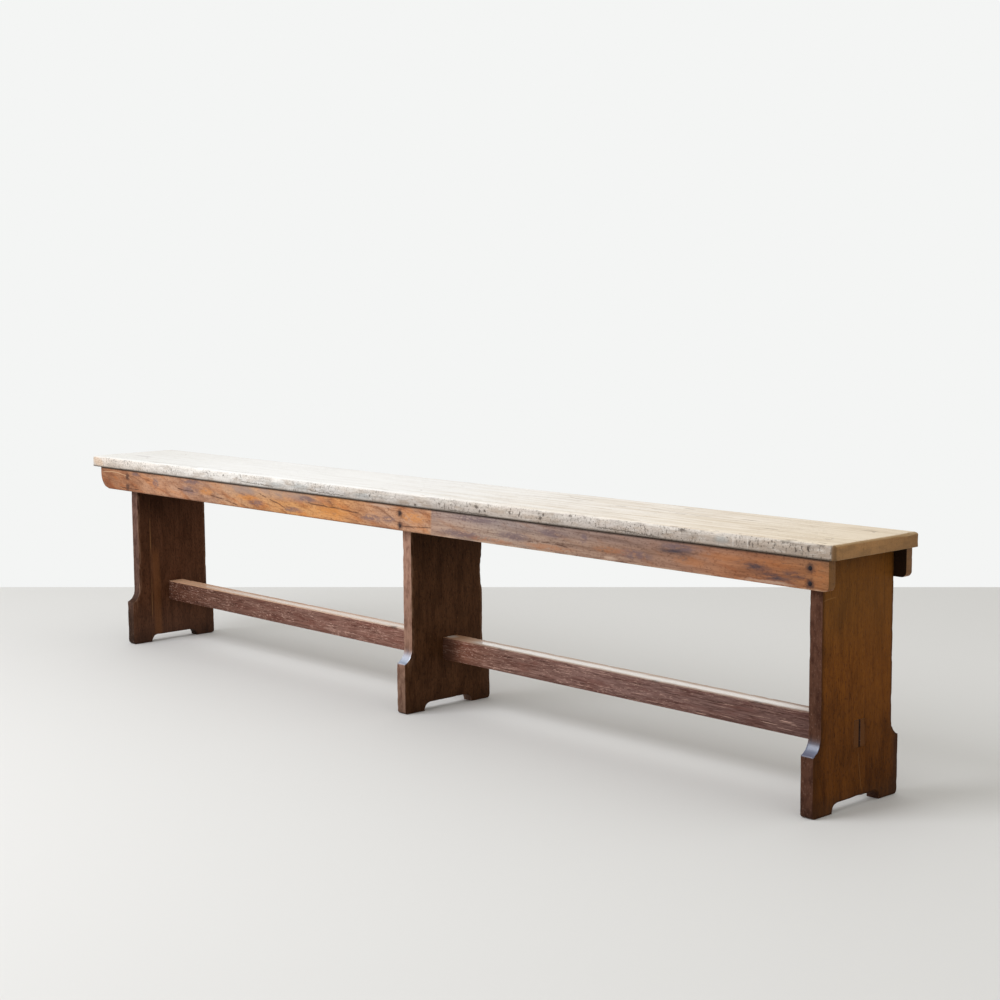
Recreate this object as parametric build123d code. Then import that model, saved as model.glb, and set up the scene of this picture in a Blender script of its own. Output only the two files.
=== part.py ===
from build123d import *
import os

# A long refectory bench: one plank seat nailed down on three board legs, a side apron nailed on
# the legs' edges at front and back, and one stretcher low down, which runs through the middle leg
# and is wedged through the two end legs.
# Millimetres. X runs along the bench, -Y is the front, +Z is up. The origin is on the floor, under
# the middle of the seat. The legs stand off centre, because the right end was cut shorter.

# Seat plank
seat_height = 450.0  # top of the seat above the floor
seat_length = 2250.0
seat_width = 228.0
seat_thickness = 26.0
seat_top_round = 5.0  # long use has rounded the upper arris
seat_bottom_ease = 1.5
seat_corner_ease = 2.5  # upright corners
seat_worn_corner_round = 9.0  # the front one at the right end, worn rounder than the others

# Board legs
leg_thickness = 26.0
leg_width = 192.0
foot_width = 231.0
foot_height = 103.0  # straight side of the foot, up to the hollow of the shoulder
shoulder_radius = 30.0
shoulder_nose_round = 3.0  # worn nose between the hollow and the side of the foot
toe_round = 7.0
arch_width = 128.0
arch_height = 16.5
leg_ease = 1.2  # worn arrises of both broad faces
left_leg_inset = 158.0  # from the end of the seat to the middle of the leg
right_leg_inset = 48.0
middle_leg_share = 0.5015  # of the way from the left leg to the right one

# Aprons
apron_height = 51.0
apron_thickness = 17.0
apron_left_inset = 36.0  # from the end of the seat to the end of the apron
apron_right_inset = 11.0
apron_left_round = 36.0  # lower corners
apron_right_round = 10.0
apron_ease = 1.2

# Stretcher with its tenons and wedges
stretcher_height = 46.0
stretcher_thickness = 41.0
stretcher_top = 145.5
stretcher_y = 7.0  # the rail stands a little behind the middle of the legs
stretcher_ease = 2.0
tenon_thickness = 30.0
mortise_clearance = 0.2
wedge_thickness = 4.5
wedge_point_thickness = 1.5
wedge_length = 22.0
wedge_sink = 1.5  # the wedge's end lies below the face of the leg

# Nails in the aprons, with rose heads
apron_nail_length = 44.0
apron_nail_shank = 3.4
apron_nail_point = 1.2
apron_nail_head = 8.0
apron_nail_head_flat = 3.0  # small flat in the middle of the head
apron_nail_head_rise = 1.0
apron_nail_head_sink = 0.8
apron_nail_head_sides = 8
apron_nail_low = 10.5  # above the lower edge of the apron
apron_nail_high = 35.5

# Nails down through the seat, with no heads, driven a little below the surface
seat_nail_length = 60.0
seat_nail_top_width = 5.0
seat_nail_top_depth = 3.0
seat_nail_point_share = 0.35
seat_nail_sink = 1.0
seat_nail_spacing = 110.0  # across the seat

cut_overrun = 5.0

# Places that several pieces share
seat_underside = seat_height - seat_thickness
seat_left = -seat_length / 2
seat_right = seat_length / 2
left_leg_x = seat_left + left_leg_inset
right_leg_x = seat_right - right_leg_inset
middle_leg_x = left_leg_x + middle_leg_share * (right_leg_x - left_leg_x)
leg_places = [left_leg_x, middle_leg_x, right_leg_x]
apron_left = seat_left + apron_left_inset
apron_right = seat_right - apron_right_inset
apron_bottom = seat_underside - apron_height
apron_face = leg_width / 2 + apron_thickness
stretcher_middle = stretcher_top - stretcher_height / 2
left_tenon_end = left_leg_x - leg_thickness / 2
right_tenon_end = right_leg_x + leg_thickness / 2


def make_seat():
    """Plank with its upper arris worn round and one upright corner worn rounder."""
    outline = Rectangle(seat_length, seat_width)
    back_corners = outline.vertices().group_by(Axis.Y)[-1]
    outline = fillet(back_corners, seat_corner_ease)
    front_left = outline.vertices().group_by(Axis.Y)[0].sort_by(Axis.X)[0]
    outline = fillet(front_left, seat_corner_ease)
    front_right = outline.vertices().group_by(Axis.Y)[0].sort_by(Axis.X)[-1]
    outline = fillet(front_right, seat_worn_corner_round)
    plank = extrude(Pos(0, 0, seat_underside) * outline, seat_thickness)
    plank = fillet(plank.edges().group_by(Axis.Z)[-1], seat_top_round)
    return chamfer(plank.edges().group_by(Axis.Z)[0], seat_bottom_ease)


def leg_half_outline():
    """Front half of a leg's outline, from the middle of the arch round to the middle of the top."""
    waist = leg_width / 2
    foot = foot_width / 2
    step = foot - waist
    hollow_height = (shoulder_radius**2 - (shoulder_radius - step) ** 2) ** 0.5
    shoulder_top = foot_height + hollow_height
    arch_end = arch_width / 2
    crown = Line((0, arch_height), (arch_end - arch_height, arch_height))
    spring = TangentArc(crown @ 1, (arch_end, 0), tangent=(1, 0))
    sole = Line(spring @ 1, (foot, 0))
    side = Line(sole @ 1, (foot, foot_height))
    hollow = TangentArc((waist, shoulder_top), side @ 1, tangent=(0, -1))
    upright = Line((waist, shoulder_top), (waist, seat_underside))
    top = Line(upright @ 1, (0, seat_underside))
    middle = Line(top @ 1, crown @ 0)
    half = make_face([crown, spring, sole, side, hollow, upright, top, middle])
    toe = half.vertices().group_by(Axis.Y)[0].sort_by(Axis.X)[-1]
    half = fillet(toe, toe_round)
    nose = half.vertices().group_by(Axis.X)[-1].sort_by(Axis.Y)[-1]
    return fillet(nose, shoulder_nose_round)


def make_leg(place):
    """Board leg with hollowed shoulders and an arched foot, before its joints are cut."""
    half = leg_half_outline()
    outline = half + mirror(half, Plane.YZ)
    board = extrude(Plane.YZ * outline, leg_thickness / 2, both=True)
    broad_faces = board.faces().filter_by(Axis.X)
    groups_below_top = broad_faces.edges().group_by(Axis.Z)[:-1]
    arrises = [edge for group in groups_below_top for edge in group]
    board = chamfer(arrises, leg_ease)
    return Pos(place, 0, 0) * board


def make_apron():
    """Side rail at the front, with its lower corners rounded and its outer arrises eased."""
    outline = make_face(
        Polyline(
            (apron_left, apron_bottom),
            (apron_right, apron_bottom),
            (apron_right, seat_underside),
            (apron_left, seat_underside),
            close=True,
        )
    )
    lower = outline.vertices().group_by(Axis.Y)[0].sort_by(Axis.X)
    outline = fillet(lower[0], apron_left_round)
    lower = outline.vertices().group_by(Axis.Y)[0].sort_by(Axis.X)
    outline = fillet(lower[-1], apron_right_round)
    rail = extrude(Plane.XZ.offset(leg_width / 2) * outline, apron_thickness)
    outer = rail.faces().sort_by(Axis.Y)[0]
    return chamfer(outer.edges(), apron_ease)


def make_stretcher_rail():
    """Rail between the end legs, with its long arrises worn, and a tenon at each end."""
    left_shoulder = left_leg_x + leg_thickness / 2
    right_shoulder = right_leg_x - leg_thickness / 2
    rail_length = right_shoulder - left_shoulder
    rail = Box(rail_length, stretcher_thickness, stretcher_height)
    rail = fillet(rail.edges().filter_by(Axis.X), stretcher_ease)
    rail = Pos((left_shoulder + right_shoulder) / 2, stretcher_y, stretcher_middle) * rail
    tenons = Box(right_tenon_end - left_tenon_end, tenon_thickness, stretcher_height)
    tenons = Pos((left_tenon_end + right_tenon_end) / 2, stretcher_y, stretcher_middle) * tenons
    return rail + tenons


def make_wedge(tenon_end, outward):
    """Upright wedge that is driven into the end of a tenon, thick end outwards."""
    thick_end = tenon_end - outward * wedge_sink
    thin_end = thick_end - outward * wedge_length
    thick = Plane.YZ.offset(thick_end) * Rectangle(wedge_thickness, stretcher_height)
    thin = Plane.YZ.offset(thin_end) * Rectangle(wedge_point_thickness, stretcher_height)
    return Pos(0, stretcher_y, stretcher_middle) * loft([thick, thin])


def make_wedge_mouth(tenon_end, outward):
    """Open end of the kerf, over the sunk wedge."""
    depth = wedge_sink + cut_overrun
    middle = tenon_end - outward * wedge_sink + outward * depth / 2
    return Pos(middle, stretcher_y, stretcher_middle) * Box(depth, wedge_thickness, stretcher_height)


def make_mortise(place, thickness):
    """Square hole right through a leg, for a tenon or the rail itself."""
    hole = Box(
        leg_thickness + 2 * cut_overrun,
        thickness + 2 * mortise_clearance,
        stretcher_height + 2 * mortise_clearance,
    )
    return Pos(place, stretcher_y, stretcher_middle) * hole


def make_rose_nail():
    """Wrought nail along -Z, its low eight-sided head set a little into the face at Z = 0."""
    outline = RegularPolygon(apron_nail_head / 2, apron_nail_head_sides)
    flat = RegularPolygon(apron_nail_head_flat / 2, apron_nail_head_sides)
    rim = extrude(outline, -apron_nail_head_sink)
    crown = loft([outline, Pos(0, 0, apron_nail_head_rise) * flat])
    neck = Pos(0, 0, -apron_nail_head_sink) * Rectangle(apron_nail_shank, apron_nail_shank)
    point = Pos(0, 0, -apron_nail_length) * Rectangle(apron_nail_point, apron_nail_point)
    return rim + crown + loft([neck, point])


def make_apron_nails():
    """Two nails into the front edge of each leg."""
    nails = []
    for leg_x in leg_places:
        for height in [apron_nail_low, apron_nail_high]:
            face = Plane(
                origin=(leg_x, -apron_face, apron_bottom + height),
                x_dir=(1, 0, 0),
                z_dir=(0, -1, 0),
            )
            nails.append(face * make_rose_nail())
    return nails


def make_seat_nail():
    """Headless cut nail along -Z, tapered to its point, with its top at Z = 0."""
    point_width = seat_nail_top_width * seat_nail_point_share
    point_depth = seat_nail_top_depth * seat_nail_point_share
    top = Rectangle(seat_nail_top_width, seat_nail_top_depth)
    point = Pos(0, 0, -seat_nail_length) * Rectangle(point_width, point_depth)
    return loft([top, point])


def seat_nail_places():
    """Tops of the seat nails, two over each leg."""
    places = []
    for leg_x in leg_places:
        for side in [-1, 1]:
            places.append((leg_x, side * seat_nail_spacing / 2, seat_height - seat_nail_sink))
    return places


def cut_all(body, tools):
    """The body with every tool taken out of it."""
    for tool in tools:
        body = body - tool
    return body


apron_nails = make_apron_nails()
back_nails = [mirror(nail, Plane.XZ) for nail in apron_nails]
seat_nails = [Pos(*place) * make_seat_nail() for place in seat_nail_places()]
nail_well = Box(seat_nail_top_width, seat_nail_top_depth, 2 * seat_nail_sink)
nail_wells = [Pos(*place) * nail_well for place in seat_nail_places()]

right_wedge = make_wedge(right_tenon_end, 1)
left_wedge = make_wedge(left_tenon_end, -1)

stretcher = cut_all(
    make_stretcher_rail(),
    [
        right_wedge,
        make_wedge_mouth(right_tenon_end, 1),
        left_wedge,
        make_wedge_mouth(left_tenon_end, -1),
    ],
)

front_apron = make_apron()
back_apron = mirror(front_apron, Plane.XZ)

all_nails = apron_nails + back_nails + seat_nails


def finish_leg(place, tenon):
    """Leg with its mortise and the holes that its own nails fill."""
    near = [nail for nail in all_nails if abs(nail.center().X - place) < leg_thickness]
    return cut_all(make_leg(place), [make_mortise(place, tenon)] + near)


nodes = {
    "seat_board": cut_all(make_seat(), seat_nails + nail_wells),
    "front_apron": cut_all(front_apron, apron_nails),
    "back_apron": cut_all(back_apron, back_nails),
    "left_leg": finish_leg(left_leg_x, tenon_thickness),
    "middle_leg": finish_leg(middle_leg_x, stretcher_thickness),
    "right_leg": finish_leg(right_leg_x, tenon_thickness),
    "stretcher": stretcher,
    "left_tenon_wedge": left_wedge,
    "right_tenon_wedge": right_wedge,
    "front_apron_nails": Compound(apron_nails),
    "back_apron_nails": Compound(back_nails),
    "seat_nails": Compound(seat_nails),
}

os.makedirs("parts", exist_ok=True)
for name, shape in nodes.items():
    export_step(shape, f"parts/{name}.step")
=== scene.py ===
import math

import bmesh
import bpy
from mathutils import Matrix, Vector


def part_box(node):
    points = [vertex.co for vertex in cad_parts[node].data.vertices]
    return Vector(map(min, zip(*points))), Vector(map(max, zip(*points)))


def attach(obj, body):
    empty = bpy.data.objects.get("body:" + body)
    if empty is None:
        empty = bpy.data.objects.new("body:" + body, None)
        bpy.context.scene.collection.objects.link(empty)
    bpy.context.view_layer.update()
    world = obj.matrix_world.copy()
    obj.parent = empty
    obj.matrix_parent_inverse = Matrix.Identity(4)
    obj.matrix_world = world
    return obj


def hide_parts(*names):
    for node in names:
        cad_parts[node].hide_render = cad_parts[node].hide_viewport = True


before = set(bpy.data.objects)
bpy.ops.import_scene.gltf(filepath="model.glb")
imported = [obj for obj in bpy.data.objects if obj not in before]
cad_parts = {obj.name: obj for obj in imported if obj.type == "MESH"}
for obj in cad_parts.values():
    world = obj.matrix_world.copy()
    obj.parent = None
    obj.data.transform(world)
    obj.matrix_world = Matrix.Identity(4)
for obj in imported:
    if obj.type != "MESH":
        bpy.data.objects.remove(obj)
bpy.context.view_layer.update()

scene = bpy.context.scene
mm = 0.001
X, Y, Z = 0, 1, 2

# Camera: where the photograph was taken from, in metres and degrees
camera_place = (2.8404, -2.4095, 0.8547)
camera_turn = 47.28
camera_dip = 6.67
camera_roll = -0.42
camera_lens = 65.53

# Floor: its far edge lies where the photograph's floor meets the wall
floor_size = 16
floor_edge_point = Vector((-0.95, 1.088, 0))
floor_turn = 44.7

# Light: soft daylight from the front left, and a white room all round
key_place = Vector((-0.9, -3, 3))
key_aim = Vector((0, 0, 0.3))
key_size = 2.4
key_power = 120
key_colour = "#F1F6FF"
room_colour = "#F4F5F4"
room_light = 0.82

# Rounding of the arrises, near the build's own
seat_corner_ease = 2.5 * mm
seat_worn_corner = 9 * mm
seat_top_round = 5 * mm
seat_bottom_ease = 1.5 * mm
apron_left_round = 36 * mm
apron_right_round = 10 * mm
apron_ease = 1.6 * mm
leg_ease = 1.6 * mm
toe_round = 7 * mm
shoulder_radius = 30 * mm
nose_round = 3.5 * mm
rail_ease = 2.2 * mm

# Sizes inside the pieces, as the build has them
leg_width = 192 * mm
foot_height = 103 * mm
arch_width = 128 * mm
arch_height = 16.5 * mm
tenon_thickness = 30 * mm
mortise_clearance = 0.2 * mm
kerf_width = 4.5 * mm
kerf_depth = 24 * mm
seat_nail_width = 5 * mm
seat_nail_depth = 3 * mm
seat_nail_spacing = 110 * mm
seat_nail_sink = 1 * mm
overrun = 5 * mm
near = 0.1 * mm
arris_bend = math.radians(12)
smooth_bend = math.radians(40)
slight_bend = 0.3
square_bend = 0.9
parallel_share = 0.999

# Cells of the meshes, fine enough for the wear to show, and the margins beside them
cell_length = 4.4 * mm
seat_cell_width = 7 * mm
seat_cell_height = 4 * mm
apron_cell_height = 5 * mm
leg_cell_width = 8 * mm
leg_cell_height = 4 * mm
rail_cell_width = 8 * mm
rail_cell_height = 6 * mm
seat_end_margin = 12 * mm
apron_margin = 2 * mm
leg_margin = 4 * mm
rail_margin = 3 * mm
rail_end_margin = 1 * mm
first_cuts = 100

# Patterns of the materials
noise_roughness = 0.6
ring_end_share = 0.97
line_core_share = 0.3
line_fade_share = 0.125
spot_depth = 12 * mm


def linear(hex_colour):
    """An sRGB hex colour as a linear colour with alpha 1."""
    channels = [int(hex_colour[i : i + 2], 16) / 255 for i in (1, 3, 5)]
    turned = [c / 12.92 if c <= 0.04045 else ((c + 0.055) / 1.055) ** 2.4 for c in channels]
    return (*turned, 1)


def add_node(kind, sockets, output=0, tree=None, **settings):
    """Adds a shader node and gives one of its outputs; the settings are the node's own.

    A socket gets a value or a link. Where no tree is given, the links tell which one it is.
    """
    links = {name: v for name, v in sockets.items() if isinstance(v, bpy.types.NodeSocket)}
    tree = tree or list(links.values())[0].id_data
    node = tree.nodes.new("ShaderNode" + kind)
    for name, value in settings.items():
        setattr(node, name, value)
    for name, value in sockets.items():
        if name in links:
            tree.links.new(value, node.inputs[name])
        else:
            node.inputs[name].default_value = value
    return node.outputs[output]


def corners(node):
    """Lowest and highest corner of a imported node."""
    low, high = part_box(node)
    return Vector(low), Vector(high)


seat_low, seat_high = corners("seat_board")
apron_low = corners("front_apron")[0]
rail_low, rail_high = corners("stretcher")
legs_low = {name: corners(name)[0] for name in ("left_leg", "middle_leg", "right_leg")}
legs_high = {name: corners(name)[1] for name in legs_low}
leg_places = {name: (legs_low[name].x + legs_high[name].x) / 2 for name in legs_low}
leg_thickness = legs_high["left_leg"].x - legs_low["left_leg"].x
leg_waist = leg_width / 2
rail_y = (rail_low.y + rail_high.y) / 2
rail_thickness = rail_high.y - rail_low.y


def select_only(board):
    bpy.ops.object.select_all(action="DESELECT")
    board.select_set(True)
    bpy.context.view_layer.objects.active = board


def start_board(name, low, high):
    """A sawn board that fills the box, opened for editing with nothing selected."""
    bpy.ops.mesh.primitive_cube_add(size=1, location=(low + high) / 2, scale=high - low)
    board = bpy.context.object
    board.name = name
    board.data.name = name
    bpy.ops.object.transform_apply()
    open_board(board)
    return board


def open_board(board):
    """Edit mode on one piece, with nothing selected."""
    select_only(board)
    bpy.ops.object.mode_set(mode="EDIT")
    bpy.ops.mesh.select_all(action="DESELECT")


def close_board():
    bpy.ops.object.mode_set(mode="OBJECT")


def middle(edge):
    return (edge.verts[0].co + edge.verts[1].co) / 2


def runs_along(edge, axis):
    """Whether an edge is parallel to an axis."""
    step = edge.verts[1].co - edge.verts[0].co
    return abs(step[axis]) > parallel_share * step.length


def pick(kind, test):
    """Selects the verts, edges or faces of the open piece that pass the test."""
    bpy.ops.mesh.select_mode(type={"verts": "VERT", "edges": "EDGE", "faces": "FACE"}[kind])
    bpy.ops.mesh.select_all(action="DESELECT")
    mesh = bmesh.from_edit_mesh(bpy.context.object.data)
    for item in getattr(mesh, kind):
        if test(item):
            item.select_set(True)
    bmesh.update_edit_mesh(bpy.context.object.data)


def round_edges(test, radius, segments):
    """Bevels the picked edges."""
    pick("edges", test)
    bpy.ops.mesh.bevel(offset=radius, segments=segments)


def slice_at(axis, places):
    """Cuts the open piece across at each place on the axis."""
    across = Vector((0, 0, 0))
    across[axis] = 1
    for place in places:
        bpy.ops.mesh.select_all(action="SELECT")
        bpy.ops.mesh.bisect(plane_co=across * place, plane_no=across)


def steps(start, end, pitch):
    """Evenly spaced places strictly between start and end, about a pitch apart."""
    count = max(1, round((end - start) / pitch))
    return [start + (end - start) * i / count for i in range(1, count)]


def slice_length(low, high, margin, pitch):
    """Cuts a long board across all along X, leaving its rounded ends alone."""
    slice_at(X, [low + margin, high - margin])
    run = high - low - 2 * margin
    first_run = run / (first_cuts + 1)
    pick("edges", lambda edge: runs_along(edge, X) and edge.calc_length() > run / 2)
    bpy.ops.mesh.subdivide(number_cuts=first_cuts)
    pick("edges", lambda edge: runs_along(edge, X) and abs(edge.calc_length() - first_run) < near)
    bpy.ops.mesh.subdivide(number_cuts=round(first_run / pitch) - 1)


def mark_arrises(board, lowest):
    """Collects the rounded arrises, where the faces bend, above the lowest height."""
    board.vertex_groups.new(name="arris")
    pick(
        "verts",
        lambda v: v.co.z > lowest and max(e.calc_face_angle(0) for e in v.link_edges) > arris_bend,
    )
    bpy.ops.object.vertex_group_assign()


def cut_block(board, low, high, test=None, radius=0, segments=1):
    """Cuts a block out of a piece with a boolean; the block's picked edges are rounded first."""
    block = start_board("block", Vector(low), Vector(high))
    if test:
        round_edges(test, radius, segments)
    close_board()
    select_only(board)
    modifier = board.modifiers.new("cut", "BOOLEAN")
    modifier.operation = "DIFFERENCE"
    modifier.solver = "EXACT"
    modifier.object = block
    bpy.ops.object.modifier_apply(modifier=modifier.name)
    bpy.data.objects.remove(block)


def weather(board, name, grain, depth, chips=None):
    """Wears the surface in with cloud noise, whose lumps have the size of the grain, in mm.

    With chips only the arrises are knocked in, where the noise is high: the lower the number of
    chips, the rarer they are.
    """
    texture = bpy.data.textures.new(name, "CLOUDS")
    texture.noise_scale = 1
    texture.noise_depth = 2
    texture.use_clamp = True
    if chips:
        texture.contrast = 4
        texture.intensity = chips
    size = bpy.data.objects.new(name, None)
    scene.collection.objects.link(size)
    size.scale = [length * mm for length in grain]
    bpy.context.view_layer.update()
    select_only(board)
    modifier = board.modifiers.new(name, "DISPLACE")
    modifier.texture = texture
    modifier.texture_coords = "OBJECT"
    modifier.texture_coords_object = size
    modifier.strength = -depth * mm
    modifier.mid_level = 0
    modifier.vertex_group = "arris" if chips else ""
    bpy.ops.object.modifier_apply(modifier=modifier.name)
    bpy.data.objects.remove(size)


def knock(board, knocks):
    """Knocks dents into a piece: each has its place, its push and its reach in millimetres."""
    open_board(board)
    for place, push, reach in knocks:
        aim = Vector(place) * mm
        mesh = bmesh.from_edit_mesh(board.data)
        nearest = min(mesh.verts, key=lambda vert: (vert.co - aim).length_squared).co.copy()
        pick("verts", lambda vert: (vert.co - nearest).length < near)
        bpy.ops.transform.translate(
            value=Vector(push) * mm, use_proportional_edit=True, proportional_size=reach * mm
        )
    close_board()


def knock_front(board, low, high, knocks):
    """Knocks the front arris: X, how far below the top, the push in and down, and the reach."""
    knock(
        board,
        [
            ((x, low.y / mm, high.z / mm - drop), (0, inward, -down), reach)
            for x, drop, inward, down, reach in knocks
        ],
    )


def note_wear(board):
    """Keeps the arris group's weights as an attribute that the material reads."""
    index = board.vertex_groups["arris"].index
    wear = board.data.attributes.new("wear", "FLOAT", "POINT")
    for vert in board.data.vertices:
        weights = [group.weight for group in vert.groups if group.group == index]
        wear.data[vert.index].value = max(weights, default=0)
    board.vertex_groups.clear()


def finish_piece(board, node, material):
    """Smooths a piece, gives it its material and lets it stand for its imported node."""
    select_only(board)
    note_wear(board)
    bpy.ops.object.shade_smooth_by_angle(angle=smooth_bend)
    board.data.materials.clear()
    board.data.materials.append(material)
    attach(board, "root")
    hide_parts(node)


def make_seat():
    """Plank with its upper arris worn round, and with a small well over each nail."""
    seat = start_board("seat_plank", seat_low, seat_high)
    round_edges(
        lambda e: runs_along(e, Z) and middle(e).x > 0 and middle(e).y < 0, seat_worn_corner, 6
    )
    round_edges(lambda e: middle(e).z > seat_high.z - near, seat_top_round, 4)
    square_corners = [seat_low.xy, Vector((seat_low.x, seat_high.y)), seat_high.xy]
    round_edges(
        lambda e: e.calc_face_angle() > slight_bend
        and not runs_along(e, X)
        and not runs_along(e, Y)
        and any((middle(e).xy - corner).length < seat_top_round for corner in square_corners),
        seat_corner_ease,
        3,
    )
    round_edges(lambda e: middle(e).z < seat_low.z + near, seat_bottom_ease, 2)
    inner = seat_worn_corner
    slice_at(Y, steps(seat_low.y + inner, seat_high.y - inner, seat_cell_width))
    flat_top = seat_high.z - seat_top_round
    slice_at(Z, steps(seat_low.z + seat_bottom_ease, flat_top, seat_cell_height))
    slice_length(seat_low.x, seat_high.x, seat_end_margin, cell_length)
    for side in (-1, 1):
        nail_y = side * seat_nail_spacing / 2
        slice_at(Y, [nail_y - seat_nail_depth / 2, nail_y + seat_nail_depth / 2])
    for nail_x in leg_places.values():
        slice_at(X, [nail_x - seat_nail_width / 2, nail_x + seat_nail_width / 2])

    mark_arrises(seat, seat_low.z + 2 * seat_bottom_ease)

    def over_nail(face):
        centre = face.calc_center_median()
        return (
            centre.z > seat_high.z - near
            and abs(abs(centre.y) - seat_nail_spacing / 2) < seat_nail_depth / 2
            and any(abs(centre.x - place) < seat_nail_width / 2 for place in leg_places.values())
        )

    pick("faces", over_nail)
    bpy.ops.mesh.extrude_region_move(TRANSFORM_OT_translate={"value": (0, 0, -seat_nail_sink)})
    close_board()
    weather(seat, "seat_waves", (300, 40, 40), 0.5)
    weather(seat, "seat_chips", (50, 14, 14), 1.4, chips=0.32)
    weather(seat, "seat_nicks", (12, 10, 10), 0.7, chips=0.4)
    knocks = [
        (-1105, 0, 2.2, 1.2, 40), (-560, 4, 1.2, 0, 16), (287, 5, 1.2, 0.6, 12), (406, 8, 1, 0, 9),
        (466, 8, 1.8, 0, 8), (540, 2, 1.2, 0.8, 10), (680, 2, 0.8, 0.8, 34), (895, 6, 1, 0, 14),
        (1029, 2, 1.6, 1.2, 12), (1048, 16, 1, 0, 8), (1100, 3, 1.2, 0.8, 10),
    ]
    knock_front(seat, seat_low, seat_high, knocks)
    return seat


def make_apron(name, node):
    """Side rail with rounded lower corners; the outer face looks away from the middle."""
    low, high = corners(node)
    outer = low.y if low.y < 0 else high.y
    apron = start_board(name, low, high)

    def is_lower_corner(edge):
        return runs_along(edge, Y) and middle(edge).z < low.z + near

    round_edges(lambda e: is_lower_corner(e) and middle(e).x < 0, apron_left_round, 12)
    round_edges(lambda e: is_lower_corner(e) and middle(e).x > high.x - near, apron_right_round, 6)
    round_edges(lambda e: all(abs(v.co.y - outer) < near for v in e.verts), apron_ease, 2)
    slice_at(Z, steps(low.z + apron_margin, high.z - apron_margin, apron_cell_height))
    slice_length(low.x, high.x, apron_left_round + apron_margin, cell_length)
    mark_arrises(apron, low.z)
    close_board()
    weather(apron, name + "_waves", (300, 40, 40), 0.4)
    weather(apron, name + "_nicks", (30, 8, 8), 0.8, chips=0.35)
    return apron


def make_leg_blank():
    """Board leg before its mortise is cut, standing at X = 0."""
    low = Vector((-leg_thickness / 2, legs_low["left_leg"].y, 0))
    high = Vector((leg_thickness / 2, legs_high["left_leg"].y, legs_high["left_leg"].z))
    leg = start_board("leg", low, high)
    close_board()
    foot = high.y
    drop = math.sqrt(shoulder_radius**2 - (shoulder_radius - (foot - leg_waist)) ** 2)
    shoulder = foot_height + drop
    for side in (-1, 1):
        inner = side * leg_waist
        outer = side * (leg_waist + 2 * shoulder_radius)
        cut_block(
            leg,
            (low.x - overrun, min(inner, outer), shoulder - shoulder_radius),
            (high.x + overrun, max(inner, outer), high.z + overrun),
            lambda e: runs_along(e, X)
            and abs(middle(e).y - inner) < near
            and middle(e).z < shoulder,
            shoulder_radius,
            16,
        )
    cut_block(
        leg,
        (low.x - overrun, -arch_width / 2, -overrun),
        (high.x + overrun, arch_width / 2, arch_height),
        lambda e: runs_along(e, X) and middle(e).z > 0,
        arch_height,
        8,
    )
    open_board(leg)

    def at_foot(edge):
        return runs_along(edge, X) and abs(middle(edge).y) > foot - near

    round_edges(lambda e: at_foot(e) and middle(e).z < near, toe_round, 5)
    round_edges(lambda e: at_foot(e) and middle(e).z > foot_height - near, nose_round, 3)
    round_edges(
        lambda e: not runs_along(e, X)
        and middle(e).z < high.z - near
        and len(e.link_faces) == 2
        and e.calc_face_angle() > square_bend,
        leg_ease,
        2,
    )
    slice_at(Z, steps(0, high.z, leg_cell_height))
    slice_at(Y, steps(-leg_waist, leg_waist, leg_cell_width))
    slice_at(X, [low.x + leg_margin, 0, high.x - leg_margin])
    mark_arrises(leg, lowest=1 * mm)
    close_board()
    return leg


def make_leg(blank, node):
    """Copy of the blank at its place, with its mortise cut through."""
    leg = blank.copy()
    leg.data = blank.data.copy()
    leg.name = node.replace("_leg", "_board_leg")
    leg.data.name = leg.name
    scene.collection.objects.link(leg)
    leg.data.transform(Matrix.Translation((leg_places[node], 0, 0)))
    width = rail_thickness if node == "middle_leg" else tenon_thickness
    half = width / 2 + mortise_clearance
    cut_block(
        leg, (legs_low[node].x - overrun, rail_y - half, rail_low.z - mortise_clearance),
        (legs_high[node].x + overrun, rail_y + half, rail_high.z + mortise_clearance),
    )
    weather(leg, node + "_waves", (40, 40, 200), 0.4)
    weather(leg, node + "_nicks", (10, 10, 30), 1, chips=0.34)
    if node == "middle_leg":
        side = legs_high[node].x / mm
        back = leg_waist / mm
        table = [(297, 3, 8), (285, 5, 14), (268, 4.5, 18), (248, 2.5, 18)]
        knock(leg, [((side, back, z), (0, -inward, 0), reach) for z, inward, reach in table])
    return leg


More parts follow.
